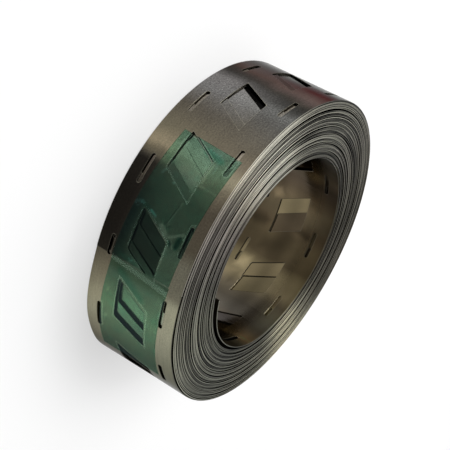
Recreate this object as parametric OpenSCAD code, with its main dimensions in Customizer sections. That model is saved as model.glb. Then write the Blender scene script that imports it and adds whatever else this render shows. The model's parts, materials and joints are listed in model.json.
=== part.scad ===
// Coil of stamped nickel strip, standing on one end, with a tape over the strip's outer end.
// The bore's axis is Z, and the origin is its centre on the end that the coil stands on.
// The strip is stamped for two staggered rows of round cells: a narrow relief slot over
// each cell, and a leaning window between the two rows.

/* [Strip] */
// Width of the strip, which is the length of the coil
strip_w = 23; // [19:0.5:32]
// Thickness of the strip
strip_t = 0.2; // [0.1:0.05:0.3]
// Looseness of the winding: the gap between one turn and the next
turn_gap = 0.092; // [0.05:0.001:0.15]

/* [Coil] */
// Diameter of the bore
bore_d = 48; // [36:1:76]
// Number of turns
turns = 48; // [20:1:70]
// Angle of the strip's outer end, from the coil's -Y side towards +X
end_angle = 25; // [-90:1:90]
// Depth to which the gaps between the turns are cut into both ends
groove_depth = 0.4; // [0.2:0.1:1]

/* [Stamping] */
// Distance between the cells of one row, centre to centre
cell_pitch = 18.4; // [17:0.1:24]
// Distance from the strip's outer end back to the first relief slot of the upper row
first_slot = 10.1; // [8:0.1:14]
// Length of a relief slot
slot_l = 6.8; // [4:0.2:9]
// Width of a relief slot
slot_w = 1; // [0.6:0.1:1.6]
// Length of a window along the strip
window_l = 9.4; // [6:0.2:12]
// Width of a window across the strip
window_w = 7.9; // [5:0.1:10]
// Lean of a window's short sides, in degrees
window_lean = 28; // [0:1:35]

/* [Tape] */
// Width of the tape
tape_w = 15; // [8:0.5:18]
// Thickness of the tape
tape_t = 0.08; // [0.05:0.01:0.15]
// Length of tape on the outer turn, before the strip's end
tape_before = 29.5; // [10:0.5:36]
// Length of tape past the strip's end
tape_after = 27; // [10:0.5:36]
// Length of the slope where the tape steps down off the strip's end
tape_slope = 1.3; // [0.8:0.1:3]
// Skew of the tape, in degrees
tape_skew = 2.8; // [0:0.1:4]
// Distance from the middle of the strip to the middle of the tape
tape_shift = 0.4; // [0:0.1:1]

/* [Hidden] */
$fn = 160;
bore_r = bore_d / 2;
turn_pitch = strip_t + turn_gap;
coil_r = bore_r + turns * turn_pitch;
// The last two turns are the wound ones, whose outline is a spiral; the rest are turned.
turned_turns = turns - 2;
turned_r = bore_r + turned_turns * turn_pitch;
// The end's direction, measured from +X in the plane of the coil.
end_dir = end_angle - 90;
// Height of each cell row from the middle of the strip: equal cells that touch.
row_height = cell_pitch * sin(60) / 2;
slots_per_row = floor((2 * PI * coil_r - first_slot - slot_l / 2) / cell_pitch) + 1;
// Shift of each half turn's centre from the bore's axis.
half_turn_shift = turn_pitch / 4;
cut_height = 3;
// Flat steps that each stretch of the tape is drawn with.
tape_steps = 40;
reach = 2 * coil_r;

// The angle that a length of strip takes on the coil's outside.
function arc_angle(length) = length / coil_r * 180 / PI;
function polar(r, a) = [r * cos(a), r * sin(a)];

// One half of the spiral: a half disc whose flat side lies on the end's direction.
module half_turn(r, side) {
    rotate(end_dir) intersection() {
        circle(r);
        translate([-reach, side > 0 ? 0 : -reach]) square([2 * reach, reach]);
    }
}

// The outline of the wound strip, as two half turns about centres half a pitch apart,
// which leaves a step of one pitch at the strip's end. grow is added all round.
module coil_outline(grow) {
    translate(polar(half_turn_shift, end_dir)) half_turn(coil_r + grow, -1);
    translate(polar(-half_turn_shift, end_dir)) half_turn(coil_r - turn_pitch / 2 + grow, 1);
}

// Half of the coil's section, with the gap after each turn open at both ends.
module turned_section() {
    difference() {
        translate([bore_r, -strip_w / 2]) square([turned_r - bore_r, strip_w]);
        for (i = [1 : turned_turns - 1], side = [-1, 1])
            translate([bore_r + i * turn_pitch - turn_gap / 2, side * strip_w / 2])
                square([turn_gap, 2 * groove_depth], center = true);
    }
}

// A cut through the strip on the coil's outside, at an angle and height, drawn flat with
// x along the strip towards its end and y up.
module cut_at(angle, height) {
    rotate(angle) translate([coil_r - cut_height / 2, 0, height])
        rotate([90, 0, 90]) linear_extrude(cut_height) children();
}

module slot_shape() {
    square([slot_l - slot_w, slot_w], center = true);
    for (side = [-1, 1])
        translate([side * (slot_l - slot_w) / 2, 0]) circle(slot_w / 2, $fn = 24);
}

module window_shape() {
    lean = window_w / 2 * tan(window_lean);
    polygon([
        [-window_l / 2 - lean, -window_w / 2], [window_l / 2 - lean, -window_w / 2],
        [window_l / 2 + lean, window_w / 2], [-window_l / 2 + lean, window_w / 2]
    ]);
}

// Slots and windows of the outer turn, cut down to the turn below it.
module stamping() {
    difference() {
        for (i = [0 : slots_per_row - 1]) {
            cell = end_dir - arc_angle(first_slot + i * cell_pitch);
            cut_at(cell, row_height) slot_shape();
            cut_at(cell + arc_angle(cell_pitch / 2), -row_height) slot_shape();
            cut_at(cell + arc_angle(cell_pitch / 4), 0) window_shape();
        }
        linear_extrude(2 * strip_w, center = true) coil_outline(-turn_pitch);
    }
}

// Everything is drawn about the middle of the strip's width, and lifted to stand on z = 0.
module standing() {
    translate([0, 0, strip_w / 2]) children();
}

module strip_coil() {
    color([0.45, 0.42, 0.36]) standing() difference() {
        union() {
            rotate_extrude() turned_section();
            linear_extrude(strip_w, center = true) difference() {
                coil_outline(0);
                circle(turned_r - strip_t);
            }
        }
        stamping();
    }
}

// Distance from the bore's axis to a circle whose centre is shifted along the end's
// direction, at an angle past that direction.
function shifted_circle_r(r, shift, past) =
    shift * cos(past) + sqrt(r * r - pow(shift * sin(past), 2));

// The wound strip's outside, before and past the strip's end.
function outside_r(past) =
    past <= 0 ? shifted_circle_r(coil_r, half_turn_shift, past)
    : shifted_circle_r(coil_r - turn_pitch / 2, -half_turn_shift, past);

// One side of the tape's section, as points from one end of the tape to the other.
function tape_side(grow, angles) =
    [for (past = angles) polar(outside_r(past) + grow, end_dir + past)];

function backwards(points) = [for (i = [len(points) - 1 : -1 : 0]) points[i]];

// The tape follows the strip, and slopes straight down past the strip's end.
module tape_section() {
    before = arc_angle(tape_before);
    slope = arc_angle(tape_slope);
    after = arc_angle(tape_after);
    angles = concat(
        [for (i = [0 : tape_steps]) before * (i / tape_steps - 1)],
        [for (i = [0 : tape_steps]) slope + (after - slope) * i / tape_steps]
    );
    polygon(concat(tape_side(tape_t, angles), backwards(tape_side(0, angles))));
}

module end_tape() {
    middle = end_dir + arc_angle(tape_after - tape_before) / 2;
    color([0.2, 0.38, 0.28, 0.9]) standing() intersection() {
        linear_extrude(strip_w, center = true) tape_section();
        rotate(middle) rotate([-tape_skew, 0, 0])
            translate([0, -reach, tape_shift - tape_w / 2]) cube([reach, 2 * reach, tape_w]);
    }
}

strip_coil();
end_tape();
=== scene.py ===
# %% [markdown]
# # A coil of stamped nickel strip
#
# The object is one long ribbon of nickel, 0.2 mm thick, that battery makers cut to length
# and weld to the ends of round cells. A press has stamped it with two rows of narrow
# relief slots, one slot over each cell, and with a leaning window in each space between
# the rows. The ribbon is wound on itself forty-eight times, and a piece of green tape
# holds its outer end down.
#
# This script makes it as the factory does: it stamps a flat ribbon, winds the ribbon into
# a loose spiral, sticks the tape on, and sets the coil on a pale floor.

# %% Load the frame
import functools
import json
import math
import bpy
import numpy as np
from mathutils import Matrix, Vector


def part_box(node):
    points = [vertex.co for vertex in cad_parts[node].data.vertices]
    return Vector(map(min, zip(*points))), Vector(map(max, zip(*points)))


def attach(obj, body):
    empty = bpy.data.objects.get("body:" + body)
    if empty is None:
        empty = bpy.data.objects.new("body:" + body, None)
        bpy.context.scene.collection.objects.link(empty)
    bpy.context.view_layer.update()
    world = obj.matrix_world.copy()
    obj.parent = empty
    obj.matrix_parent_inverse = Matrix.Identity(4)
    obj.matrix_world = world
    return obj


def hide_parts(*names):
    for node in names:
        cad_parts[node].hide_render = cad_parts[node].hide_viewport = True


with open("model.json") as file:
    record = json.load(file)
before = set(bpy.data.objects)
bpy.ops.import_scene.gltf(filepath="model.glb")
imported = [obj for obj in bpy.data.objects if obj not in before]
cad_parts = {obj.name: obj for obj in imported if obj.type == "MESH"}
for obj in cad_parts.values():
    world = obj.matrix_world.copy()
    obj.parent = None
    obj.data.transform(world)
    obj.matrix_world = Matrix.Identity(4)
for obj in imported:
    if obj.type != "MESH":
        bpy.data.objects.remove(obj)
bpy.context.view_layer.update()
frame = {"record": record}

MM = 0.001

# %% [markdown]
# ## Sizes
#
# The CAD model settles how high the coil is, and the frame's record gives its bore; its
# outside follows from the turns wound on the bore. The stamping follows from the cells it
# is made for. Cells that touch, in two staggered rows, stand one pitch apart along a row,
# and the rows are sin 60 of a pitch apart.

# %% Sizes of the coil and of the strip
coil_low, coil_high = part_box("strip_coil")
COIL_H = coil_high.z - coil_low.z
BORE_R = next(m["dims"]["r_mm"] for m in frame["record"]["mounts"] if m["name"] == "bore") * MM
TURN_PITCH = 0.292 * MM
WHOLE_TURNS = 48
COIL_R = BORE_R + WHOLE_TURNS * TURN_PITCH

STRIP_W = 22.6 * MM
STRIP_T = 0.2 * MM
TURNS = 47.96
END_ANGLE = math.radians(-64.7)

CELL = 18.4 * MM
ROW_HEIGHT = CELL * math.sin(math.radians(60)) / 2
SLOT_L, SLOT_W = 6.8 * MM, 1.0 * MM
WINDOW_L, WINDOW_W = 9.4 * MM, 7.9 * MM
WINDOW_LEAN = math.radians(28)
FIRST_SLOT_OUTER = 10.1 * MM
FIRST_SLOT_INNER = 9.0 * MM
print("coil:", round(COIL_H / MM, 2), "high,", round(COIL_R / MM, 2), "radius, mm")

# %% [markdown]
# ## Selecting by place
#
# Every mesh here starts as one of Blender's primitives and is shaped in edit mode. With
# no window to click in, faces and edges are selected in code, by where they are.

# %% Helpers for selecting and editing
def object_mode():
    bpy.ops.object.mode_set(mode="OBJECT")


def only(obj):
    """Makes obj the only selected object, and the active one."""
    if bpy.context.mode != "OBJECT":
        object_mode()
    bpy.ops.object.select_all(action="DESELECT")
    obj.select_set(True)
    bpy.context.view_layer.objects.active = obj


def pick(obj, kind, test):
    """Enters edit mode on obj with the vertices, edges or faces selected that pass test.

    test takes the element's vertex places, as a list of vectors."""
    only(obj)
    bpy.ops.object.mode_set(mode="EDIT")
    bpy.ops.mesh.select_mode(type=kind)
    bpy.ops.mesh.select_all(action="DESELECT")
    object_mode()
    mesh = obj.data
    places = [v.co for v in mesh.vertices]
    elements = {"VERT": mesh.vertices, "EDGE": mesh.edges, "FACE": mesh.polygons}[kind]
    for element in elements:
        ids = [element.index] if kind == "VERT" else element.vertices
        element.select = test([places[i] for i in ids])
    bpy.ops.object.mode_set(mode="EDIT")


def pick_all(obj):
    only(obj)
    bpy.ops.object.mode_set(mode="EDIT")
    bpy.ops.mesh.select_all(action="SELECT")


def block(name, low, high):
    """A cube primitive that fills the box from low to high."""
    low, high = Vector(low), Vector(high)
    bpy.ops.mesh.primitive_cube_add(size=1, location=(low + high) / 2)
    obj = bpy.context.object
    obj.name = name
    obj.scale = high - low
    bpy.ops.object.transform_apply(location=True, rotation=False, scale=True)
    return obj


def apply_modifier(obj, kind, **settings):
    only(obj)
    modifier = obj.modifiers.new(kind.lower(), kind)
    for name, value in settings.items():
        setattr(modifier, name, value)
    bpy.ops.object.modifier_apply(modifier=modifier.name)


def triangles(obj):
    return sum(len(p.vertices) - 2 for p in obj.data.polygons)


# %% Helpers for points and maps
def points_of(mesh):
    """The places of the mesh's points: an array of x, one of y and one of z."""
    places = np.empty(len(mesh.vertices) * 3)
    mesh.vertices.foreach_get("co", places)
    return places.reshape(-1, 3).T


def bend(mesh, r, angle, up):
    """Moves each point to its radius, angle and height in the coil."""
    mesh.vertices.foreach_set("co", np.column_stack([r * np.cos(angle), r * np.sin(angle), up]).ravel())
    mesh.update()


def clear_maps(mesh):
    while mesh.uv_layers:
        mesh.uv_layers.remove(mesh.uv_layers[0])


def add_map(mesh, name, u, v):
    """Adds a UV map that gives each point its own u and v."""
    point_of_corner = np.empty(len(mesh.loops), dtype=int)
    mesh.loops.foreach_get("vertex_index", point_of_corner)
    layer = mesh.uv_layers.new(name=name)
    layer.uv.foreach_set("vector", np.column_stack([u, v])[point_of_corner].ravel())


# %% [markdown]
# ## One stamped pitch of strip
#
# A press works on the flat strip, one pitch at a stroke: an upper slot, a window and a
# lower slot, then the strip moves on by a pitch. So one pitch is made as a flat block,
# cut into narrow columns so that it can bend later, and punched by three tools with the
# Boolean modifier. The slit edges of the strip get a small bevel, because slitting rolls
# them over.

# %% A flat length of strip, with columns for bending and open ends
SLIT_BEVEL = 0.045 * MM
END_TOLERANCE = 0.001 * MM


def flat_strip(name, start, end, columns):
    """A bar of strip from start to end along x, with its slit edges bevelled."""
    bar = block(name, (start, -STRIP_W / 2, 0), (end, STRIP_W / 2, STRIP_T))
    for i in range(1, columns):
        pick_all(bar)
        x = start + (end - start) * i / columns
        bpy.ops.mesh.bisect(plane_co=(x, 0, 0), plane_no=(1, 0, 0))
    pick(bar, "EDGE", lambda ends: all(abs(p.y) > STRIP_W / 2 - END_TOLERANCE for p in ends)
         and abs(ends[0].x - ends[1].x) > END_TOLERANCE)
    bpy.ops.mesh.bevel(offset=SLIT_BEVEL, segments=1)
    pick(bar, "FACE", lambda ring: all(abs(p.x - ring[0].x) < END_TOLERANCE for p in ring))
    bpy.ops.mesh.delete(type="FACE")
    object_mode()
    return bar


# %% The press tools
TOOL_REACH = 1 * MM
WINDOW_CORNER_R = 0.3 * MM


def round_upright_edges(tool, radius, segments):
    pick(tool, "EDGE", lambda ends: abs(ends[0].z - ends[1].z) > TOOL_REACH)
    bpy.ops.mesh.bevel(offset=radius, segments=segments)
    object_mode()


def press_tool(name, x, y, length, width):
    """A block that reaches right through the strip, centred on x and y."""
    return block(name, (x - length / 2, y - width / 2, -TOOL_REACH),
                 (x + length / 2, y + width / 2, TOOL_REACH))


def slot_tool(x, y):
    tool = press_tool("slot_tool", x, y, SLOT_L, SLOT_W)
    round_upright_edges(tool, SLOT_W * 0.49, 4)
    return tool


def window_tool(x):
    tool = press_tool("window_tool", x, 0, WINDOW_L, WINDOW_W)
    lean = WINDOW_W / 2 * math.tan(WINDOW_LEAN)
    for side in (-1, 1):
        pick(tool, "VERT", lambda place: place[0].y * side > 0)
        bpy.ops.transform.translate(value=(side * lean, 0, 0))
    round_upright_edges(tool, WINDOW_CORNER_R, 2)
    return tool


# %% Punch one pitch
COLUMNS = 14


def stamped_pitch(name):
    """One pitch of strip: its upper slot is centred on x = 0, its lower slot half a pitch on.
    The UV map "stamp" keeps where each point is on the pitch, in millimetres."""
    pitch = flat_strip(name, -CELL / 4, CELL * 3 / 4, COLUMNS)
    for tool in (slot_tool(0, ROW_HEIGHT), window_tool(CELL / 4), slot_tool(CELL / 2, -ROW_HEIGHT)):
        apply_modifier(pitch, "BOOLEAN", operation="DIFFERENCE", solver="EXACT", object=tool)
        bpy.data.objects.remove(tool)
    clear_maps(pitch.data)
    x, y, _ = points_of(pitch.data)
    add_map(pitch.data, "stamp", x / MM, y / MM)
    return pitch


pitch = stamped_pitch("stamped_pitch")
print("one pitch:", len(pitch.data.polygons), "faces,", triangles(pitch), "triangles")

# %% [markdown]
# ## The long strip
#
# The whole strip is over nine metres long. Only the turns that can be seen need their
# stamping: looking in through a window, three turns down, the next turns close the view.
# So the first and last few turns are stamped pitches, repeated with the Array modifier,
# and plain strip joins them. Twice the press's feed has slipped by a millimetre and a half,
# and left a short length unstamped, which shifts the windows of one turn against the next.

# %% Stamped lengths for the first and last turns
STAMPED_TURNS = 5
INNER_PITCHES = round(2 * math.pi * (BORE_R + STAMPED_TURNS / 2 * TURN_PITCH) * STAMPED_TURNS / CELL)
OUTER_PITCHES = round(2 * math.pi * (COIL_R - STAMPED_TURNS / 2 * TURN_PITCH) * STAMPED_TURNS / CELL)


def repeat(obj, count, spacing):
    """Repeats obj along x, each copy joined to the one before it."""
    apply_modifier(obj, "ARRAY", count=count, use_relative_offset=False, use_constant_offset=True,
                   constant_offset_displace=(spacing, 0, 0), use_merge_vertices=True,
                   merge_threshold=END_TOLERANCE)


def stamped_length(name, start, count):
    """count stamped pitches in a row, from x = start on."""
    length = pitch.copy()
    length.data = pitch.data.copy()
    length.name = name
    bpy.context.collection.objects.link(length)
    repeat(length, count, CELL)
    pick_all(length)
    bpy.ops.transform.translate(value=(start + CELL / 4, 0, 0))
    object_mode()
    return length


FAR_FROM_HOLES = -1000.0


def unstamped_length(name, start, end):
    """A length of strip that the press left whole."""
    length = flat_strip(name, start, end, 1)
    clear_maps(length.data)
    away = np.full(len(length.data.vertices), FAR_FROM_HOLES)
    add_map(length.data, "stamp", away, away)
    return length


def trim(obj, x, keep):
    """Shears obj across at x, keeps the side named, and closes the cut."""
    pick_all(obj)
    bpy.ops.mesh.bisect(plane_co=(x, 0, 0), plane_no=(1, 0, 0), use_fill=True,
                        clear_inner=keep == "after", clear_outer=keep == "before")
    object_mode()


print("stamped pitches at the inner and the outer end:", INNER_PITCHES, OUTER_PITCHES)

# %% [markdown]
# ## How the turns lie
#
# The winding is a spiral, but not an even one: here and there a turn stands off the one
# before it, over part of the way round, which shows on the ends as dark crescents between
# bunches of turns. So the gap above each point of the strip is worked out first, from a
# list of loose places, and each turn is then laid on the one below. At each angle the
# tight places make up for the loose ones, so that the coil's outside stays nearly round.

# %% The gap over each point of the strip
STEPS = 360
LAST = round(TURNS * STEPS)
START_ANGLE = END_ANGLE - TURNS * 2 * math.pi
TIGHTEST = 0.012 * MM

# Loose places: turn from the bore, angle round the coil, width in degrees, gap in mm.
LOOSE_PLACES = [
    (27, -100, 60, 0.30), (28, -95, 50, 0.12), (11, -165, 40, 0.30), (12, -120, 60, 0.16),
    (3, 175, 35, 0.20), (5, -170, 30, 0.14), (20, 165, 45, 0.42), (21, 150, 40, 0.22),
    (33, 160, 45, 0.36), (34, 150, 50, 0.24), (34, -95, 50, 0.22), (39, -150, 45, 0.20),
    (40, -100, 50, 0.16), (17, -130, 50, 0.14), (43, 170, 30, 0.18), (44, 60, 60, 0.16),
    (37, -5, 50, 0.18), (30, -40, 45, 0.16), (24, -20, 50, 0.20), (13, 10, 50, 0.20),
    (8, -30, 45, 0.16), (3, 15, 40, 0.18), (33, 95, 60, 0.36), (20, 100, 60, 0.34),
    (26, 60, 40, 0.14), (41, 100, 40, 0.12), (46, -47, 26, 0.40), (45, -47, 26, 0.40),
]
step = np.arange(LAST + 1)
turn_of = step / STEPS
angle_of = START_ANGLE + turn_of * 2 * math.pi
start_degrees = math.degrees(START_ANGLE)


def bump(turns_away, width):
    return np.exp(-((turns_away * 360 / width) ** 2))


loose = np.zeros(LAST + 1)
for turn, degrees, width, gap in LOOSE_PLACES:
    where = turn + ((degrees - start_degrees) % 360) / 360
    loose += gap * MM * bump(turn_of - where, width)

scatter = np.random.default_rng(7)
BUNCHES, SMALL_GAPS = 46, 150
for bunch in range(BUNCHES):
    where = (bunch + scatter.uniform(0, 1)) * TURNS / BUNCHES
    loose += scatter.uniform(0.2, 0.42) * MM * bump(turn_of - where, scatter.uniform(60, 110))
for _ in range(SMALL_GAPS):
    where, width = scatter.uniform(0, TURNS), scatter.uniform(14, 50)
    loose += scatter.uniform(0.01, 0.06) * MM * bump(turn_of - where, width)

# %% The springy inner end, and the lay of every turn
TAIL_LIFT, TAIL_REACH = 1.5 * MM, 75
TAIL_BELLY, BELLY_MIDDLE, BELLY_REACH = 0.3 * MM, 55, 32
from_inner_end = turn_of * 360
tail = TAIL_LIFT * np.clip(1 - from_inner_end / TAIL_REACH, 0, 1) ** 1.2
from_belly = np.clip(np.abs(from_inner_end - BELLY_MIDDLE) / BELLY_REACH, 0, 1)
tail += TAIL_BELLY * np.cos(from_belly * math.pi / 2)

seat = np.zeros(LAST + 1)
seat[:STEPS] = BORE_R + TURN_PITCH * turn_of[:STEPS]
outer_face = COIL_R - TURN_PITCH * (TURNS - turn_of)
for first in range(STEPS):
    column = step[first::STEPS]
    gaps = loose[column[:-1]]
    room = outer_face[column[-1]] - STRIP_T - seat[first] - STRIP_T * len(gaps)
    gaps = gaps * min(1, (room - TIGHTEST * len(gaps)) / gaps.sum())
    even = (room - gaps.sum()) / len(gaps)
    seat[column[1:]] = seat[first] + np.cumsum(gaps + even + STRIP_T)
    loose[column[:-1]] = gaps + even
seat -= tail
print("tightest gap, mm:", round(loose[:LAST - STEPS].min() / MM, 3))
print("roundness of the outside, mm:", round((seat[LAST - STEPS:].max() + STRIP_T) / MM, 2),
      round((seat[LAST - STEPS:].min() + STRIP_T) / MM, 2))

# %% Length of strip up to each step
middle_r = seat + STRIP_T / 2
run = np.concatenate([[0], np.cumsum((middle_r[1:] + middle_r[:-1]) / 2 * (2 * math.pi / STEPS))])
LENGTH = run[-1]
print("strip length, m:", round(LENGTH, 3))

# %% [markdown]
# Just past the strip's end nothing holds the outer turns down, so they flare a little at
# their lower edge. The edges of the turns don't lie in one plane either: a turn stands a
# little proud of its neighbours and then sinks back.

# %% The flare of the outer turns past the strip's end
def ramp(x, low, high):
    """0 where x is at or under low, 1 where it is at or over high, smooth between."""
    t = np.clip((x - low) / (high - low), 0, 1)
    return t * t * (3 - 2 * t)


FLARE = 1.2 * MM
FLARE_AT_UPPER_EDGE = 0.15
FLARE_TURNS = 4
LAST_FLARED = TURNS - 0.8
degrees_of = (np.degrees(angle_of) + 180) % 360 - 180
turns_down = np.clip(LAST_FLARED - turn_of, 0, None) // 1
flare_of = FLARE * ramp(degrees_of, -64, -36) * (1 - ramp(degrees_of, -24, 0))
flare_of *= np.clip(1 - turns_down / FLARE_TURNS, 0, 1) ** 1.5
flare_of[turn_of > LAST_FLARED] = 0


def flared(amount, y):
    """How far out a point stands, from the flare at its place and its height across the strip."""
    lower = np.clip(0.5 - y / STRIP_W, 0, 1)
    return amount * (FLARE_AT_UPPER_EDGE + (1 - FLARE_AT_UPPER_EDGE) * lower)


# %% The rise and fall of the turns across the coil
RISE = (COIL_H - STRIP_W) / 2 * 0.95
SMALL_RISES = 240
SLOW_WAVES = ((0.23, 0.4), (0.087, 2.0), (0.41, 1.1))
rise_of = sum(0.3 * np.sin(turn_of * 2 * math.pi * rate + phase) for rate, phase in SLOW_WAVES)
for _ in range(SMALL_RISES):
    where, width = scatter.uniform(0, TURNS), scatter.uniform(40, 120)
    rise_of += scatter.uniform(-1, 1) * bump(turn_of - where, width)
rise_of = RISE * np.tanh(rise_of)


ROLLED, SLIT, TORN = range(3)


def wind(obj):
    """Bends the flat strip into its place in the coil. The UV map "flat" keeps its flat
    places, in millimetres, and "wall" keeps how far up a cut wall each point is. The faces
    that the slitter and the press cut get materials of their own."""
    mesh = obj.data
    for face in mesh.polygons:
        at_edge = abs(face.center.y) > STRIP_W / 2 - 2 * SLIT_BEVEL
        face.material_index = ROLLED if abs(face.normal.z) > 0.9 else SLIT if at_edge else TORN
    x, y, z = points_of(mesh)
    add_map(mesh, "flat", x / MM, y / MM)
    add_map(mesh, "wall", z / STRIP_T, z * 0)
    at = np.interp(x, run, step)
    angle = np.interp(at, step, angle_of)
    r = np.interp(at, step, seat) + z + flared(np.interp(at, step, flare_of), y)
    bend(mesh, r, angle, COIL_H / 2 + y + np.interp(at, step, rise_of))


# %% Lay out the flat strip
FEED_SLIP = 1.5 * MM
AFTER_SLIP = 27
FIRST_FEED_SLIP = 1.6 * MM
BEFORE_FIRST_SLIP = 8
PLAIN_COLUMN = 1.35 * MM

first_slip = FIRST_SLOT_INNER - CELL / 4 + BEFORE_FIRST_SLIP * CELL
after_first = INNER_PITCHES - BEFORE_FIRST_SLIP
inner_end = first_slip + FIRST_FEED_SLIP + after_first * CELL
last_slot = LENGTH - FIRST_SLOT_OUTER
slip_end = last_slot - CELL / 4 - (AFTER_SLIP - 1) * CELL
before_last = OUTER_PITCHES - AFTER_SLIP
outer_start = slip_end - FEED_SLIP - before_last * CELL

inner = stamped_length("inner_strip", first_slip - (BEFORE_FIRST_SLIP + 1) * CELL, BEFORE_FIRST_SLIP + 1)
trim(inner, 0, "after")
first_slipped = unstamped_length("first_slipped_strip", first_slip, first_slip + FIRST_FEED_SLIP)
after_first_slip = stamped_length("after_first_slip", first_slip + FIRST_FEED_SLIP, after_first)
outer = stamped_length("outer_strip", slip_end, AFTER_SLIP)
trim(outer, LENGTH, "before")
slipped = unstamped_length("slipped_strip", slip_end - FEED_SLIP, slip_end)
before_slip = stamped_length("before_slip", outer_start, before_last)

plain_columns = round((outer_start - inner_end) / PLAIN_COLUMN)
plain_column = (outer_start - inner_end) / plain_columns
plain = unstamped_length("plain_strip", inner_end, inner_end + plain_column)
repeat(plain, plain_columns, plain_column)
print("plain strip between the stamped lengths, m:", round(outer_start - inner_end, 3))

# %% Join it and wind it
only(plain)
for length in (inner, first_slipped, after_first_slip, before_slip, slipped, outer):
    length.select_set(True)
bpy.ops.object.join()
strip = plain
strip.name = strip.data.name = "nickel_strip"
pick_all(strip)
bpy.ops.mesh.remove_doubles(threshold=END_TOLERANCE)
object_mode()
wind(strip)
only(strip)
bpy.ops.object.shade_smooth_by_angle(angle=math.radians(30))
bpy.data.objects.remove(pitch)
print("strip:", triangles(strip), "triangles")

# %% [markdown]
# ## The tape
#
# The tape is a thin green film with gum on its back. It holds the end of the strip down:
# half of it sits on the last turn, and half on the turn under it, with a slope between
# where it comes down off the strip's end. It is pressed on hard enough to sink a little
# into the windows and slots, so their outlines show in it. A finely divided sheet takes
# that shape: flat first, as it comes off the roll, then laid on the coil.

# %% Sizes of the tape
TAPE_W = 15 * MM
TAPE_T = 0.08 * MM
TAPE_START, TAPE_END = math.radians(-109.4), math.radians(-23.8)
TAPE_MIDDLE = (TAPE_START + TAPE_END) / 2
TAPE_SKEW = math.radians(2.8)
TAPE_SHIFT = 0.4 * MM
TAPE_LENGTH = (TAPE_END - TAPE_START) * COIL_R
SLOPE_LENGTH = 1.3 * MM
print("tape, mm:", round(TAPE_LENGTH / MM, 1), "by", TAPE_W / MM)

# %% A flat sheet of tape
TAPE_CUTS_ALONG, TAPE_CUTS_ACROSS = 220, 58
bpy.ops.mesh.primitive_grid_add(x_subdivisions=TAPE_CUTS_ALONG, y_subdivisions=TAPE_CUTS_ACROSS, size=1)
tape = bpy.context.object
tape.name = tape.data.name = "green_tape"
tape.scale = (TAPE_LENGTH, TAPE_W, 1)
bpy.ops.object.transform_apply(location=False, rotation=False, scale=True)


# %% How deep a point is inside a hole of the strip under it
def past_edges(offset_u, offset_v, length, width):
    """How far inside a rectangle a point is, in metres; less than 0 outside."""
    return np.minimum(length / 2 - np.abs(offset_u), width / 2 - np.abs(offset_v))


def inside_holes(u, v):
    """How far inside its nearest slot or window a point of the flat strip is."""
    def along(first):
        return (u - last_slot - first + CELL / 2) % CELL - CELL / 2
    window = past_edges((along(CELL / 4) - v * math.tan(WINDOW_LEAN)) * math.cos(WINDOW_LEAN), v,
                        WINDOW_L * math.cos(WINDOW_LEAN), WINDOW_W)
    upper = past_edges(along(0), v - ROW_HEIGHT, SLOT_L, SLOT_W)
    lower = past_edges(along(CELL / 2), v + ROW_HEIGHT, SLOT_L, SLOT_W)
    return np.maximum(window, np.maximum(upper, lower))


# %% Lay the tape on the coil
SAG = 0.13 * MM
SAG_STARTS, SAG_FULL = -0.05 * MM, 0.55 * MM
CLEAR = 0.01 * MM


def top_of(at):
    """Radius of the strip's outer face at some steps of the winding."""
    return np.interp(at, step, seat) + STRIP_T


clear_maps(tape.data)
tape_x, tape_y, _ = points_of(tape.data)
add_map(tape.data, "flat", tape_x / MM, tape_y / MM)

along = tape_x * math.cos(TAPE_SKEW) + tape_y * math.sin(TAPE_SKEW)
tape_angle = TAPE_MIDDLE + along / COIL_R
strip_v = TAPE_SHIFT + tape_y * math.cos(TAPE_SKEW) - tape_x * math.sin(TAPE_SKEW)
past_end = tape_angle - END_ANGLE
on_last = LAST + np.minimum(past_end, 0) / (2 * math.pi) * STEPS
on_under = LAST - STEPS + np.maximum(past_end, 0) / (2 * math.pi) * STEPS
under_r = top_of(on_under) + flared(np.interp(on_under, step, flare_of), strip_v)
slope = SLOPE_LENGTH / COIL_R
down = np.clip(past_end / slope, 0, 1)
strip_u = np.interp(np.where(past_end > slope, on_under, on_last), step, run)
add_map(tape.data, "under", (strip_u - last_slot) / MM, strip_v / MM)
sag = SAG * ramp(inside_holes(strip_u, strip_v), SAG_STARTS, SAG_FULL)
sag[(past_end > 0) & (past_end < slope)] = 0
tape_r = top_of(on_last) * (1 - down) + under_r * down + CLEAR - sag
bend(tape.data, tape_r, tape_angle, COIL_H / 2 + strip_v)
only(tape)
bpy.ops.object.shade_smooth()
apply_modifier(tape, "SOLIDIFY", thickness=TAPE_T - CLEAR, offset=1, material_offset=1,
               material_offset_rim=1)
print("tape:", triangles(tape), "triangles, outer radius", round(tape_r.max() / MM, 2), "mm")

# %% [markdown]
# ## Materials
#
# A material's maths is easier to read as sums than as a picture of nodes. The small class
# below wraps one output socket, so that sums on it add Math nodes, and its node method
# adds any other node.

# %% A socket that Python can do sums with
def plug(node, name, value):
    """Feeds one input of a node with a wire, or sets its plain value."""
    if isinstance(value, Wire):
        value.tree.links.new(value.socket, node.inputs[name])
    else:
        node.inputs[name].default_value = value


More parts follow.
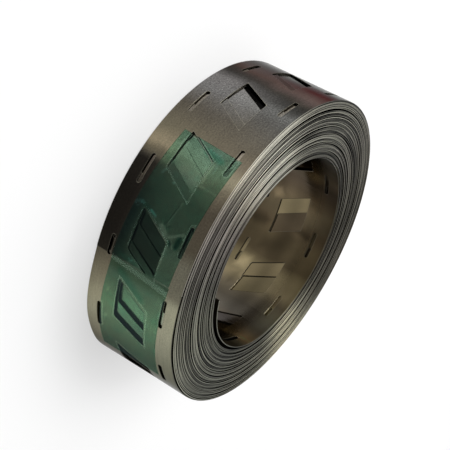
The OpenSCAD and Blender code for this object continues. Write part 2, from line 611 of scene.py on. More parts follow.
class Wire:
    def __init__(self, tree, socket=None):
        self.tree, self.socket = tree, socket

    def node(self, kind, inputs=None, output=0, **settings):
        """Adds a shader node, with its settings, and its inputs by name or number."""
        made = self.tree.nodes.new("ShaderNode" + kind)
        for name, value in settings.items():
            setattr(made, name, value)
        for name, value in (inputs or {}).items():
            plug(made, name, value)
        return Wire(self.tree, made.outputs[output])

    def math(self, operation, *others):
        """A Math node with this as its first value."""
        return self.node("Math", dict(enumerate((self, *others))), operation=operation)

    def __add__(self, other):
        return self.math("ADD", other)

    def __sub__(self, other):
        return self.math("SUBTRACT", other)

    def __rsub__(self, other):
        return self.node("Math", {0: other, 1: self}, operation="SUBTRACT")

    def __mul__(self, other):
        return self.math("MULTIPLY", other)

    def __truediv__(self, other):
        return self.math("DIVIDE", other)

    def __abs__(self):
        return self.math("ABSOLUTE")

    __radd__, __rmul__ = __add__, __mul__

    def at_least(self, other):
        return self.math("MAXIMUM", other)

    def at_most(self, other):
        return self.math("MINIMUM", other)

    def axis(self, number):
        return self.node("SeparateXYZ", {0: self}, number)

    def between(self, low, high):
        """0 where this is at or under low, 1 where it is at or over high, smooth between."""
        return self.node("MapRange", {"Value": self, "From Min": low, "From Max": high},
                         interpolation_type="SMOOTHSTEP")

    def noise(self, scale=1, detail=2, roughness=0.5):
        return self.node("TexNoise", {
            "Vector": self, "Scale": scale, "Detail": detail, "Roughness": roughness})

    def times(self, other):
        """This colour or place, times another one or times a number that varies."""
        return self.node("VectorMath", {0: self, 1: other}, operation="MULTIPLY")

    def mixed(self, colour_a, colour_b):
        """Colour a where this is 0, colour b where it is 1."""
        a, b = ((*colour, 1) if isinstance(colour, tuple) else colour for colour in (colour_a, colour_b))
        return self.node("Mix", {0: self, 6: a, 7: b}, 2, data_type="RGBA")

    def toned(self, mask, tone):
        """This colour, multiplied by a tone where mask is 1."""
        return mask.mixed(self, self.times(tone))


def new_material(name):
    material = bpy.data.materials.new(name)
    material.use_nodes = True
    return material, Wire(material.node_tree), material.node_tree.nodes["Principled BSDF"]


def coat(shader, colour, roughness, metallic=0.0):
    plug(shader, "Base Color", colour)
    plug(shader, "Roughness", roughness)
    plug(shader, "Metallic", metallic)


def layered(share, below, above):
    """The shader below, with a share of the one above."""
    return share.node("MixShader", {0: share, 1: below, 2: above})


# %% [markdown]
# ### Rolled nickel
#
# Cold-rolled nickel has a satin skin: fine lines along the strip from the rolls, and a
# close grain, with glints painted into its colour where it sparkles. The skin isn't one
# grey: bands run across the strip, from bright straw to dark brown and plum, and they
# differ between the two edges. These bands are painted reflections and painted shade, of
# the room and of the floor round the coil, on the metal's own tone. So two rings of tones
# are written down, one for each edge of the outside, as the angle round the coil and a
# colour, and the metal between is a mix of them. The turns that show through the windows
# have rings of painted light and shade that lighten or darken them, and so has the skin
# under the tape: it is painted lighter and greyer, for the light and reflections seen
# through the film. The bore has rings of its own, and soft bright and dull spots, painted
# reflections because each part of it mirrors the windows across from it, and painted
# shade in its slots, behind the inner end and on its deeper turns.

# %% A ring of tones round the coil
def round_coil(place):
    """The angle round the coil, as 0 to 1 from -180 to 180 degrees, with wavy lines of equal angle."""
    wave = place.noise(scale=160) * 0.012 - 0.006
    return place.axis(1).math("ARCTAN2", place.axis(0)) / (2 * math.pi) + 0.5 + wave


def tones(angle, ring):
    """A colour that changes with the angle, from a list of degrees and a colour or a grey."""
    made = angle.node("ValToRGB", {0: angle})
    stops = made.socket.node.color_ramp.elements
    while len(stops) < len(ring):
        stops.new(0.5)
    for stop, (degrees, tone) in zip(stops, ring):
        stop.position = (degrees + 180) / 360
        stop.color = (*tone, 1) if isinstance(tone, tuple) else (tone, tone, tone, 1)
    return made


# %% Tones of the outside, with painted reflections and shade: upper edge, lower edge
UPPER_TONES_AND_REFLECTIONS = [
    (-180, (0.18, 0.17, 0.14)), (-168, (0.25, 0.24, 0.22)), (-160.5, (0.14, 0.14, 0.12)),
    (-159, (0.05, 0.002, 0.002)), (-153, (0.1, 0.018, 0.018)), (-150, (0.13, 0.075, 0.07)),
    (-147, (0.165, 0.12, 0.108)), (-144, (0.125, 0.097, 0.088)), (-141, (0.075, 0.066, 0.057)),
    (-138.5, (0.044, 0.042, 0.038)), (-135, (0.05, 0.049, 0.045)), (-131, (0.145, 0.145, 0.138)),
    (-126, (0.103, 0.1, 0.092)), (-112, (0.135, 0.117, 0.086)), (-106, (0.19, 0.16, 0.115)),
    (-102, (0.27, 0.24, 0.165)), (-96, (0.117, 0.1, 0.07)), (-91, (0.06, 0.05, 0.036)),
    (-78, (0.062, 0.053, 0.037)), (-72, (0.118, 0.112, 0.083)), (-62, (0.127, 0.12, 0.087)),
    (-58, (0.27, 0.265, 0.186)), (-48, (0.285, 0.28, 0.2)), (-36, (0.23, 0.23, 0.17)),
    (-24, (0.24, 0.24, 0.18)), (-8, (0.22, 0.21, 0.17)), (20, (0.24, 0.23, 0.17)),
    (60, (0.15, 0.14, 0.11)), (90, (0.1, 0.09, 0.07)), (120, (0.22, 0.2, 0.15)),
    (150, (0.16, 0.15, 0.12)), (180, (0.18, 0.17, 0.14))]
LOWER_TONES_AND_REFLECTIONS = [
    (-180, (0.15, 0.14, 0.115)), (-168, (0.22, 0.21, 0.18)), (-158, (0.12, 0.11, 0.1)),
    (-150, (0.165, 0.13, 0.122)), (-147, (0.13, 0.09, 0.078)), (-144, (0.08, 0.068, 0.062)),
    (-141, (0.065, 0.06, 0.056)), (-136, (0.21, 0.2, 0.195)), (-128, (0.18, 0.175, 0.17)),
    (-119, (0.1, 0.088, 0.07)), (-108, (0.17, 0.15, 0.103)), (-103, (0.3, 0.25, 0.165)),
    (-100, (0.14, 0.12, 0.08)), (-97, (0.075, 0.066, 0.05)), (-84, (0.052, 0.046, 0.035)),
    (-72, (0.056, 0.049, 0.036)), (-66, (0.075, 0.066, 0.048)), (-58, (0.18, 0.16, 0.108)),
    (-48, (0.34, 0.32, 0.217)), (-42, (0.37, 0.355, 0.25)), (-30, (0.33, 0.31, 0.23)),
    (-12, (0.13, 0.125, 0.09)), (20, (0.2, 0.19, 0.14)), (60, (0.11, 0.1, 0.08)),
    (100, (0.17, 0.155, 0.115)), (150, (0.12, 0.11, 0.09)), (180, (0.15, 0.14, 0.115))]

# %% Painted light and shade on parts of the outside, and the strength of the glints
UNDER_LAST_TURN = [
    (-150, 1), (-138, 1.5), (-120, 1.45), (-112, 1), (-107, (0.8, 0.8, 0.85)),
    (-101, (0.76, 0.76, 0.82)), (-97, (1.15, 1.15, 1.3)), (-92, (1.15, 1.15, 1.2)), (-84, 0.6),
    (-79, 0.5), (-68, 0.4), (-58, (1.75, 2, 2)), (-40, (1.3, 1.35, 1.5)), (-30, 1)]
UNDER_SECOND_TURN = [
    (-138, 1), (-130, 0.88), (-120, 0.75), (-112, 1), (-107, (1.75, 1.75, 1.7)), (-101, 1.7),
    (-95, 1.2), (-86, 0.7), (-68, 0.6), (-58, 0.66), (-48, 0.7), (-40, 0.85)]
UNDER_FILM = [
    (-109, (1.85, 2, 2.5)), (-102, (1.3, 1.28, 1.5)), (-98, (1.65, 1.4, 1.57)),
    (-94, (1.47, 1.6, 1.75)), (-84, (1.27, 1.47, 1.65)), (-75, (1.5, 1.5, 1.75)),
    (-70, (1.3, 1.15, 1.27)), (-66, (1.05, 1.13, 1.28)), (-57, (1, 0.92, 0.95)),
    (-48, (1.32, 1.3, 1.3)), (-38, (1.15, 1.02, 1.05)), (-30, (0.92, 0.76, 0.8))]
LOW_UNDER_FILM = [
    (-108, 1), (-104, 1.5), (-98, (2, 1.9, 1.9)), (-90, (1.4, 1.3, 1.3)), (-85, 1),
    (-80, (0.6, 0.6, 0.65)), (-71, (0.65, 0.65, 0.7)), (-66, 1), (-56, (1.25, 1.3, 1.3)),
    (-48, (1.1, 1.05, 1.05))]
SLOT_FLOORS = [
    (-104, (0.34, 0.3, 0.25)), (-98, (0.05, 0.04, 0.03)), (-66, (0.05, 0.04, 0.03)),
    (-60, (0.34, 0.3, 0.25))]
SATIN_AND_GLINTS = [
    (-150, 0.2), (-140, 0.7), (-130, 1), (-116, 0.4), (-104, 0.15), (-96, 0.5), (-66, 0.4),
    (-60, 0.12)]

# %% Bore tones and painted reflections: first turn, second, deeper ones, their parts
BORE_TONES = [
    (-180, (0.11, 0.1, 0.08)), (-100, (0.12, 0.1, 0.075)), (4, (0.09, 0.075, 0.05)),
    (20, (0.22, 0.18, 0.125)), (28, (0.34, 0.28, 0.19)), (36, (0.21, 0.18, 0.14)),
    (44, (0.15, 0.135, 0.11)), (52, (0.11, 0.095, 0.072)), (60, (0.155, 0.13, 0.088)),
    (68, (0.25, 0.205, 0.12)), (78, (0.195, 0.16, 0.09)), (86, (0.082, 0.063, 0.036)),
    (100, (0.094, 0.073, 0.041)), (108, (0.088, 0.066, 0.039)), (116, (0.11, 0.088, 0.053)),
    (124, (0.15, 0.117, 0.07)), (134, (0.1, 0.077, 0.05)), (142, (0.1, 0.078, 0.056)),
    (149, (0.17, 0.14, 0.1)), (156, (0.17, 0.14, 0.11)), (168, (0.12, 0.105, 0.085)),
    (176, (0.11, 0.1, 0.08))]
SECOND_BORE_TONES = [
    (-180, (0.17, 0.15, 0.12)), (-150, (0.1, 0.09, 0.07)), (20, (0.28, 0.26, 0.24)),
    (30, (0.22, 0.2, 0.185)), (38, (0.13, 0.115, 0.105)), (50, (0.2, 0.16, 0.09)),
    (130, (0.23, 0.19, 0.11)), (140, (0.05, 0.04, 0.03)), (149, (0.05, 0.04, 0.03)),
    (156, (0.19, 0.17, 0.13)), (180, (0.17, 0.15, 0.12))]
DEEP_BORE_TONES = [
    (-150, (0.04, 0.03, 0.02)), (20, (0.14, 0.12, 0.1)), (50, (0.17, 0.14, 0.08)),
    (90, (0.2, 0.165, 0.095)), (95, (0.085, 0.065, 0.04)), (125, (0.09, 0.07, 0.045)),
    (140, (0.04, 0.03, 0.02))]
BORE_SLOTS = [(-180, 1), (84, 1), (94, 0.25), (120, 0.25), (130, 1)]
BEHIND_TAIL = [(-180, 1), (-60, 0.08), (48, 0.08), (60, 1)]
BORE_LIP = [
    (-180, (5, 5.4, 6)), (-160, 1.5), (4, (2.1, 2.1, 2)), (12, (1.1, 1.1, 1)), (20, (2.1, 2.2, 2.1)),
    (28, (3.2, 2.8, 2.2)), (40, (1.75, 1.85, 1.8)), (52, (3.2, 3.5, 3.2)), (62, 1.2),
    (84, (1.9, 1.9, 1.8)), (100, (1.85, 1.85, 1.8)), (110, 1.2), (124, (1.1, 1.15, 1.2)),
    (148, (1.7, 1.75, 1.95)), (160, (3.1, 3.4, 3.6)), (172, (6.9, 7.3, 8)), (180, (5, 5.4, 6))]

# %% Places along the strip, in millimetres
# The bore's finish ends at BORE_PART, out of sight. What is seen between DARK_FROM and
# DARK_TO lies three turns deep or more, and gets painted shade. The strip's last stretch
# is painted dark low down, as painted shade.
LAST_TURN_START = run[LAST - STEPS] / MM
SECOND_TURN_START = run[LAST - 2 * STEPS] / MM
ONE_TURN_IN, TWO_TURNS_IN = run[STEPS] / MM, run[2 * STEPS] / MM
BORE_PART = 1000
DARK_FROM, DARK_TO = run[3 * STEPS] / MM, run[LAST - 3 * STEPS] / MM - 34
LOW_SHADE_START = LENGTH / MM - 22
print("the last turn starts at, mm:", round(LAST_TURN_START, 1))


# %% How near a hole, and whether under the tape
def hole_distance(stamp):
    """Distance from the nearest hole of the pitch, in millimetres, 0 at its rim."""
    x, y = stamp.axis(0), stamp.axis(1)

    def slot(centre_x, centre_y):
        past_x = (abs(x - centre_x) - (SLOT_L - SLOT_W) / 2 / MM).at_least(0)
        past_y = y - centre_y
        return (past_x * past_x + past_y * past_y).math("SQRT") - SLOT_W / 2 / MM

    leaning_x = abs(x - CELL / 4 / MM - y * math.tan(WINDOW_LEAN)) - WINDOW_L / 2 / MM
    window = (leaning_x * math.cos(WINDOW_LEAN)).at_least(abs(y) - WINDOW_W / 2 / MM)
    slots = slot(0, ROW_HEIGHT / MM).at_most(slot(CELL / 2 / MM, -ROW_HEIGHT / MM))
    return window.at_most(slots)


def slot_rows(flat):
    """1 on the two rows of slots, 0 between and beside them."""
    return 1 - abs(abs(flat.axis(1)) - ROW_HEIGHT / MM).between(0.45, 0.7)


def covered(place):
    """1 under the tape, 0 beside it."""
    around = (place.axis(1).math("ARCTAN2", place.axis(0)) - TAPE_MIDDLE) * (COIL_R / MM)
    up = place.axis(2) / MM - (COIL_H / 2 + TAPE_SHIFT) / MM
    x = around * math.cos(TAPE_SKEW) - up * math.sin(TAPE_SKEW)
    y = around * math.sin(TAPE_SKEW) + up * math.cos(TAPE_SKEW)
    past = (abs(x) - TAPE_LENGTH / 2 / MM).at_least(abs(y) - TAPE_W / 2 / MM)
    return 1 - past.between(-0.15, 0)


# %% Marks on a flat sheet
def crease(flat, start, end, width):
    """1 on the line from start to end on the flat sheet, in millimetres, 0 at width from it."""
    length = math.hypot(end[0] - start[0], end[1] - start[1])
    along = ((end[0] - start[0]) / length, (end[1] - start[1]) / length)
    x, y = flat.axis(0) - start[0], flat.axis(1) - start[1]
    over = abs(x * along[0] + y * along[1] - length / 2) - length / 2
    aside = abs(x * along[1] - y * along[0])
    return 1 - (aside + over.at_least(0)).between(0, width)


def strongest(flat, marks):
    """The strongest of some marks, each given by its start, end, spread and amount."""
    wires = [crease(flat, start, end, width) * amount for start, end, width, amount in marks]
    return functools.reduce(Wire.at_least, wires)


# %% Painted reflections on the bore's turn: soft bright and dull spots
# Each has its start and end on the flat strip, its spread, all in mm, and its strength.
BRIGHT_SPOTS = [((52, -6.4), (53, -5.6), 3.4, 0.9), ((72.5, -5.2), (73.5, -4.8), 2.4, 0.7),
                ((48.5, 6.8), (54, 5.6), 3, 0.2), ((31.5, 7.6), (34.5, 7.2), 3.4, 0.45),
                ((69, 6.5), (72, 5.8), 3, 0.4), ((74, -0.6), (80, 0.4), 3.6, 0.4)]
DULL_SPOTS = [((59, -3), (62.5, 2.4), 4.2, 0.35), ((64, -9), (64.6, -6.2), 2.8, 0.4),
              ((65.4, 6.4), (66.6, 1.4), 1.7, 0.4), ((46.5, -5.8), (48, -5.4), 2.6, 0.35)]


# %% Rolled nickel
def outside_colour(place, flat, angle, under_last, under_film):
    """The colour of the outer turns, from masks for the turns under the last and for the tape."""
    u, height = flat.axis(0), place.axis(2)
    # The metal's tone with painted reflections and shade, mixed from the lower edge to the upper.
    higher = (height / COIL_H + place.noise(scale=120) * 0.3 - 0.15).between(0.02, 0.95)
    colour = higher.mixed(tones(angle, LOWER_TONES_AND_REFLECTIONS), tones(angle, UPPER_TONES_AND_REFLECTIONS))
    # Painted shade: low down on the strip's last stretch the outside is made near black, where it
    # mirrors the shaded floor.
    low_shade = (u - LOW_SHADE_START).between(-1, 1.2) * (1 - height.between(3 * MM, 12 * MM))
    colour = (low_shade * 0.82).mixed(colour, (0.004, 0.0035, 0.0035))
    # Painted light and shade on the turns under the last one, seen through the windows.
    colour = colour.toned(under_last, tones(angle, UNDER_LAST_TURN))
    # Painted light: the skin under the tape is made lighter and greyer, for the light and reflections
    # seen through the film, with painted shade on its own ring low down.
    colour = colour.toned(under_film, tones(angle, UNDER_FILM))
    low_down = under_film * (1 - height.between(5.5 * MM, 8.5 * MM))
    colour = colour.toned(low_down, tones(angle, LOW_UNDER_FILM))
    # Painted light and shade on the floors of the slots, which are the turn below.
    slot_floors = under_last * slot_rows(flat) * (1 - under_film)
    colour = (slot_floors * 0.5).mixed(colour, tones(angle, SLOT_FLOORS))
    # Painted shade on the turn just under the last, and painted light and shade on the deeper ones.
    under_second = (SECOND_TURN_START - u).between(-0.5, 0.5)
    colour = (under_last * (1 - under_second) * 0.3).mixed(colour, (0.03, 0.03, 0.025))
    return colour.toned(under_second, tones(angle, UNDER_SECOND_TURN))


def bore_colour(place, flat, angle):
    """The colour of the turns at the bore."""
    u, height = flat.axis(0), place.axis(2) / MM
    behind_first = (u - ONE_TURN_IN).between(-0.5, 0.5)
    behind_second = (u - TWO_TURNS_IN).between(-0.5, 0.5)
    # Painted reflections and shade in the bore: rings for its first, second and deeper turns, darker
    # slot rows, shade behind the inner end, a lighter lip, and bright and dull spots.
    colour = behind_first.mixed(tones(angle, BORE_TONES), tones(angle, SECOND_BORE_TONES))
    colour = behind_second.mixed(colour, tones(angle, DEEP_BORE_TONES))
    colour = colour.toned(behind_first * slot_rows(flat), tones(angle, BORE_SLOTS))
    colour = colour.toned(behind_first * height.between(16, 19), tones(angle, BEHIND_TAIL))
    colour = colour.toned(height.between(16.5, 21.5), tones(angle, BORE_LIP))
    colour = colour.times(abs(height - 12).between(0, 4) * 0.3 + 0.7)
    colour = colour.times(place.noise(scale=110) * 0.8 + 0.6)
    spots = (strongest(flat, BRIGHT_SPOTS) + 1) * (1 - strongest(flat, DULL_SPOTS))
    return colour.times(spots)


def rolled_nickel():
    material, wire, shader = new_material("rolled_nickel")
    flat = wire.node("UVMap", uv_map="flat")
    place = wire.node("TexCoord", output="Object")
    u = flat.axis(0)
    angle = round_coil(place)
    under_last = (LAST_TURN_START - u).between(-0.5, 0.5)
    under_film = covered(place)
    on_outside = (u - BORE_PART).between(0, 1)
    colour = on_outside.mixed(bore_colour(place, flat, angle),
                              outside_colour(place, flat, angle, under_last, under_film))

    # How strongly the grain shows, and how strongly glints and rim highlights are painted in.
    satin_and_glints = tones(angle, SATIN_AND_GLINTS) * (1 - under_film * 0.75)
    grain = flat.noise(scale=2.6, detail=3, roughness=0.75)
    lines = flat.times((0.15, 4, 1)).noise(detail=4, roughness=0.6)
    smear = flat.times((0.05, 0.14, 1)).noise(detail=3)
    # Painted glints: bright specks in the colour, where the grain would sparkle.
    painted_glints = flat.noise(scale=4.5, roughness=0.7).between(0.62, 0.74)
    speckle = painted_glints * satin_and_glints * 1.6 + (grain - 0.5) * (satin_and_glints * 3.0 + 0.4) + (lines - 0.5) * 0.5
    speckle = speckle * (on_outside * 0.8 + 0.2) * (1 - under_film * under_last * 0.6)
    colour = colour.times((speckle + (smear - 0.5) * 0.5 + 1).at_least(0.2))

    # Painted highlight: a light line along the rims of the holes, stronger where the satin is.
    rim = 1 - hole_distance(wire.node("UVMap", uv_map="stamp")).between(0, 0.09)
    colour = (rim * (satin_and_glints * 0.6 + 0.15)).mixed(colour, (0.60, 0.57, 0.44))
    # Painted shade: turns three or more deep go near black, a little lighter under the tape.
    deep_shade = (u - DARK_FROM).between(-4, 4) * (DARK_TO - u).between(-2, 2)
    colour = (deep_shade * 0.96).mixed(colour, under_film.mixed((0, 0, 0), (0.03, 0.03, 0.034)))
    in_lip = (1 - on_outside) * (place.axis(2) / MM).between(14, 21)
    texture = on_outside * 0.9 + 0.1
    skin = wire.node("Bump", {
        "Strength": 0.3, "Distance": 0.02 * MM, "Height": (grain * 0.8 + lines * 0.5) * texture})
    rolled_rim = wire.node("Bump", {
        "Strength": 1, "Distance": 0.04 * MM, "Height": 1 - rim * rim, "Normal": skin})
    coat(shader, colour, (lines * 0.06 + grain * 0.08) * texture + 0.13 + in_lip * 0.2, metallic=1.0)
    plug(shader, "Specular Tint", (0.4, 0.4, 0.4, 1))
    plug(shader, "Normal", rolled_rim)
    return material


# %% [markdown]
# ### Slit and stamped edges
#
# Where the slitter has cut the strip, the metal is fresh, and the edges of all the turns
# together are what shows on the ends of the coil. Each turn's edge has its own tone, and
# turns go light and dark in small bunches, as painted light and shade. The whole end has
# painted highlights and shade by the angle round it, with duller and warmer parts, and is
# darker near the bore. Where the press has cut the strip, the top third of a wall is
# sheared bright, and below that the metal is torn, and is painted nearly black, as shade
# inside the holes.

# %% Slit edges
TURNS_A_BUNCH = 3.5
# Painted highlights and shade on the ends, by the angle round the coil.
END_LIGHT_AND_SHADE = [
    (-180, (0.8, 0.8, 0.79)), (-170, (0.85, 0.87, 0.85)), (-145, (0.8, 0.8, 0.78)), (-120, 0.8),
    (-100, (0.95, 0.9, 0.86)), (-84, (1.4, 1.3, 1.36)), (-62, 0.86), (-42, (1.45, 1.5, 1.4)),
    (-18, (1.3, 1.35, 1.3)), (0, (0.88, 0.93, 0.91)), (22, (0.6, 0.61, 0.58)),
    (46, (0.42, 0.42, 0.38)), (56, (0.72, 0.69, 0.58)), (64, (0.72, 0.69, 0.58)),
    (76, (0.45, 0.44, 0.4)), (100, (0.65, 0.61, 0.58)), (120, (0.55, 0.53, 0.5)),
    (140, (0.8, 0.78, 0.75)), (160, (0.75, 0.73, 0.73)), (180, (0.8, 0.8, 0.79))]


def slit_nickel():
    material, wire, shader = new_material("slit_nickel")
    flat = wire.node("UVMap", uv_map="flat")
    angle = round_coil(wire.node("TexCoord", output="Object"))
    u, start_r, turn_pitch = flat.axis(0), BORE_R / MM, TURN_PITCH / MM
    r = (u * (turn_pitch / math.pi) + start_r * start_r).math("SQRT")
    turn = (r - start_r) / turn_pitch
    # Painted light and shade by turn: bunches of light and dark turns, and single turns.
    drift = wire.node("CombineXYZ", {0: turn * 0.3, 1: u * 0.004}).noise()
    bunches = (turn * (2 * math.pi / TURNS_A_BUNCH) + drift * 5).math("SINE") * 0.5 + 0.5
    single_turns = flat.times((0.011, 0, 0)).noise(detail=4, roughness=0.7)
    streak = flat.times((0.12, 0, 0)).noise()
    tone = bunches.between(0.25, 0.75) * 0.55 + single_turns.between(0.43, 0.56) * 0.35 + streak * 0.1
    tone = tone * (turn.between(4, 20) * 0.3 + 0.7)
    colour = tone.mixed((0.004, 0.004, 0.0035), (0.56, 0.545, 0.46))
    coat(shader, colour.times(tones(angle, END_LIGHT_AND_SHADE)), 0.24 + streak * 0.12, metallic=1.0)
    return material


# %% Torn walls
def torn_nickel():
    material, wire, shader = new_material("torn_nickel")
    depth = wire.node("UVMap", uv_map="wall").axis(0)
    ragged = wire.node("TexCoord", output="Object").noise(scale=4000) * 0.2 - 0.1
    sheared = (depth + ragged).between(0.62, 0.72)
    # Painted shade: the torn part of each wall is made nearly black; the sheared top stays bright.
    colour = sheared.mixed((0.02, 0.019, 0.016), (0.36, 0.34, 0.27))
    coat(shader, colour, 0.6 - sheared * 0.35, metallic=1.0)
    return material


for material in (rolled_nickel(), slit_nickel(), torn_nickel()):
    strip.data.materials.append(material)

# %% [markdown]
# ### Green film
#
# The tape is a clear green film, and nearly all that shows in it is the metal below. So
# the film is made of clear layers that only tint, mixed by masks on the flat tape: the
# plain film, a deeper green where the gum has wetted the metal, a paler green where air is
# caught along the rims of the holes, in folds, and on the slope at the strip's end, and
# thin shadows beside the folds. Each tint is met twice, on the way in and on the way out.
# A little gloss is kept for the rims and the slope. A film also scatters a trace of the
# room's light, and thick gum scatters more of it, so a very weak glow stands in for that.
# The gummed side only lets light through.

# %% The strip under the tape
def under_tape(wire):
    """The place on one pitch of the strip that lies under a point of the tape."""
    under = wire.node("UVMap", uv_map="under")
    along = under.axis(0).math("WRAP", CELL * 3 / 4 / MM, -CELL / 4 / MM)
    return wire.node("CombineXYZ", {0: along, 1: under.axis(1)})


# %% Green film
# Folds and pockets of air: start and end on the flat tape, how far they spread, all in mm,
# and how much lighter they are.
LIGHT_MARKS = [((-15.3, 2.2), (-12.8, 1.8), 0.3, 0.8), ((-12.8, 1.8), (-10, 1.4), 0.3, 0.9),
               ((-10.2, 6), (-8, 3), 0.7, 0.9), ((-9.2, 0.4), (-7.6, 2.6), 1.3, 1),
               ((-8.2, 3.5), (-6.4, 4.9), 0.35, 0.8), ((-6.6, 3.6), (-1, 3.5), 0.55, 0.9),
               ((-20, 8), (-20, 3), 0.5, 0.45), ((-25, 3), (-20.6, 3.2), 0.5, 0.6),
               ((25, -3), (29, 1), 2, 0.35), ((9.7, -6.3), (10.2, -6.5), 0.7, 0.4),
               ((16.6, -5.6), (17.6, -6.6), 1, 0.35)]
# Places where the gum has wetted the metal, which look deep green.
WET_MARKS = [((-9, 5.4), (-7, 5.4), 1, 0.8), ((-7.2, 3.6), (-6.8, 3.8), 0.8, 0.6),
             ((-10, -6.6), (1, -6), 1.8, 0.25), ((-11.4, -6.6), (-10.4, -2.4), 1, 0.5),
             ((0.6, -6), (0.6, -1), 1.2, 0.4), ((4.2, -4.5), (7.6, 2), 1.8, 0.5),
             ((-26.8, -0.5), (-26.2, 4), 1.2, 0.5)]
# Spots where the gum is thick, which glow a bright teal, as painted light.
THICK_GUM_GLOW_MARKS = [((-11.2, -5.6), (-10.6, -7), 0.9, 1), ((-10.8, -3.2), (-10.2, -1.6), 0.5, 0.7),
               ((-27.5, -0.4), (-27, 3.2), 0.9, 0.8), ((-17.8, -2.4), (-17.7, -1.8), 0.5, 0.6),
               ((-19.4, -5.2), (-18.4, -5.6), 0.6, 0.5), ((0.4, -2.6), (0.6, -3.4), 0.6, 0.6),
               ((-23.6, 4), (-26.2, 3.4), 0.6, 0.4)]
# Thin shadows beside folds and rims.
SHADE_MARKS = [((-9, 5.5), (-7, 5.4), 0.9, 0.35), ((-7.3, 3.8), (-6.8, 4), 0.7, 0.3),
               ((-28.6, -4.4), (-25.5, 2.4), 0.16, 0.9), ((-25.3, -4.6), (-21.8, 2.6), 0.1, 0.4),
               ((-14.5, 1.9), (-10, 1.2), 0.18, 0.5), ((8.1, -0.6), (9.9, 3.4), 0.16, 0.5)]


def clear_layer(wire, tint):
    """A layer that only tints what is seen through it."""
    return wire.node("BsdfTransparent", {"Color": (*tint, 1)})


def green_film():
    material, wire, shader = new_material("green_film")
    flat = wire.node("UVMap", uv_map="flat")
    x, y = flat.axis(0), flat.axis(1)
    holes = hole_distance(under_tape(wire))
    patchy = flat.noise(scale=0.22, detail=3, roughness=0.6)
    fine = flat.noise(scale=0.9, detail=4, roughness=0.65)

    over_seam = x.between(3.5, 5.5)
    first_window = 1 - x.between(-12.5, -10.5)
    broken = (patchy + fine * 1.2 - 0.6).at_least(over_seam * 0.68).at_least(first_window * 0.6)
    at_rim = (1 - abs(holes - 0.22).between(0.08, 0.26)) * broken.between(0.3, 0.8)
    slope = 1 - abs(x - 2.55 - y * 0.042).between(0.5, 0.72)
    slope_edge = 1 - abs(x - 1.95 - y * 0.042).between(0.04, 0.16)
    patches = (patchy * 0.5 + fine * 0.5).between(0.46, 0.64)
    near_ends = abs(x + 12).between(9, 12) * (1 - over_seam)
    light = functools.reduce(Wire.at_least, (
        at_rim * 0.8, slope * 0.6, slope_edge * 0.95, patches * near_ends * 0.35,
        fine.between(0.4, 0.7) * 0.18, strongest(flat, LIGHT_MARKS)))
    wet = strongest(flat, WET_MARKS) * (fine + 0.4).at_most(1)
    wet = wet.at_least(patches * (1 - near_ends) * 0.25)
    shade = strongest(flat, SHADE_MARKS) * (fine + 0.5).at_most(1)
    thick_gum_glow = strongest(flat, THICK_GUM_GLOW_MARKS) * (fine * 2.4 + patchy - 1.3).between(0, 0.9)

    coat(shader, (0.40, 0.60, 0.48, 1), 0.3)
    film = clear_layer(wire, (0.70, 0.82, 0.76))
    tints = (wet, (0.45, 0.78, 0.70)), (light, (0.88, 1.0, 0.95)), (shade, (0.15, 0.25, 0.22))
    for share, tint in tints:
        film = layered(share, film, clear_layer(wire, tint))
    gloss = at_rim.at_least(slope) * 0.04
    film = layered(gloss, film, Wire(wire.tree, shader.outputs[0]))
    # Painted glow: a faint glow over all the film, more over the seam, and a bright teal glow where the
    # gum is thick.
    haze_glow = wire.node("Emission", {"Color": thick_gum_glow.mixed((0.65, 0.90, 0.95), (0.05, 1.0, 0.72))})
    film = layered(0.003 + over_seam * 0.009 + thick_gum_glow * 0.04, film, haze_glow)
    plug(wire.tree.nodes["Material Output"], "Surface", film)
    return material


def clear_gum():
    material, wire, shader = new_material("clear_gum")
    plug(shader, "Alpha", 0.02)
    return material


for material in (green_film(), clear_gum()):
    tape.data.materials.append(material)

# %% [markdown]
# ## Floor, light and camera
#
# The floor is pale paper with a share of glow, so that it stays nearly white. The glow is
# seen only straight, mirrored or through the film, so it adds no light of its own.

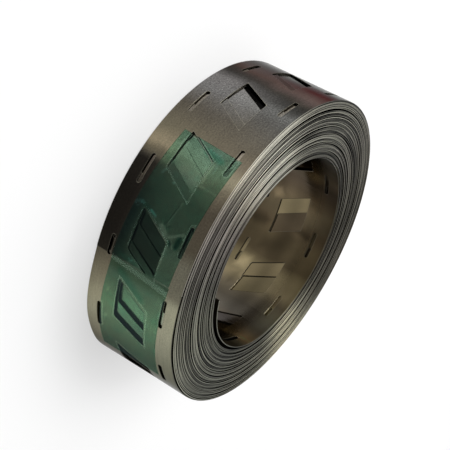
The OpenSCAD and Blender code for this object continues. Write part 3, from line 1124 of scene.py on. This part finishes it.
# %% Floor
FLOOR_SIZE = 12
bpy.ops.mesh.primitive_plane_add(size=FLOOR_SIZE)
floor = bpy.context.object
floor.name = "studio_floor"
material, wire, shader = new_material("floor_paper")
coat(shader, (0.9, 0.9, 0.9, 1), 0.9)
seen = functools.reduce(Wire.at_least, [
    wire.node("LightPath", output=f"Is {ray} Ray") for ray in ("Camera", "Glossy", "Transmission")])
glow = wire.node("Emission", {"Color": (1, 1, 1, 1)})
plug(wire.tree.nodes["Material Output"], "Surface",
     layered(seen * 0.55, Wire(wire.tree, shader.outputs[0]), glow))
floor.data.materials.append(material)

# %% World
WORLD_LEVEL = 0.35
world = bpy.data.worlds.new("studio")
bpy.context.scene.world = world
world.use_nodes = True
background = world.node_tree.nodes["Background"]
plug(background, "Color", (1, 1, 1, 1))
plug(background, "Strength", WORLD_LEVEL)


# %% Lamps
def softbox(name, azimuth, elevation, distance, size, power):
    """A square lamp that looks at the coil from azimuth, in degrees from +X, and elevation."""
    a, e = math.radians(azimuth), math.radians(elevation)
    away = Vector((math.cos(a) * math.cos(e), math.sin(a) * math.cos(e), math.sin(e)))
    lamp_data = bpy.data.lights.new(name, "AREA")
    lamp_data.size, lamp_data.energy = size, power
    lamp = bpy.data.objects.new(name, lamp_data)
    bpy.context.collection.objects.link(lamp)
    lamp.location = away * distance
    lamp.rotation_euler = away.to_track_quat("Z", "Y").to_euler()


softbox("back_softbox", azimuth=115, elevation=55, distance=1.2, size=0.9, power=7)
softbox("side_softbox", azimuth=-167, elevation=52, distance=1.3, size=1.0, power=12)

# %% Camera
CAMERA_BACK, CAMERA_UP = 214.48 * MM, 96.73 * MM
CAMERA_PITCH, CAMERA_ROLL = math.radians(90 - 25.23), math.radians(119.4)
LENS, SENSOR_WIDTH = 81.4, 36
camera_data = bpy.data.cameras.new("camera")
camera_data.lens, camera_data.sensor_width = LENS, SENSOR_WIDTH
camera = bpy.data.objects.new("camera", camera_data)
bpy.context.collection.objects.link(camera)
camera.matrix_world = (
    Matrix.Translation(Vector((0, -CAMERA_BACK, COIL_H / 2 + CAMERA_UP)))
    @ Matrix.Rotation(CAMERA_PITCH, 4, "X") @ Matrix.Rotation(CAMERA_ROLL, 4, "Z"))
bpy.context.scene.camera = camera
bpy.context.scene.view_settings.view_transform = "Standard"

# %% Join the pieces to the frame
for piece, node, slot in ((strip, "strip_coil", "nickel"), (tape, "end_tape", "tape")):
    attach(piece, "root")
    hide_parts(node)
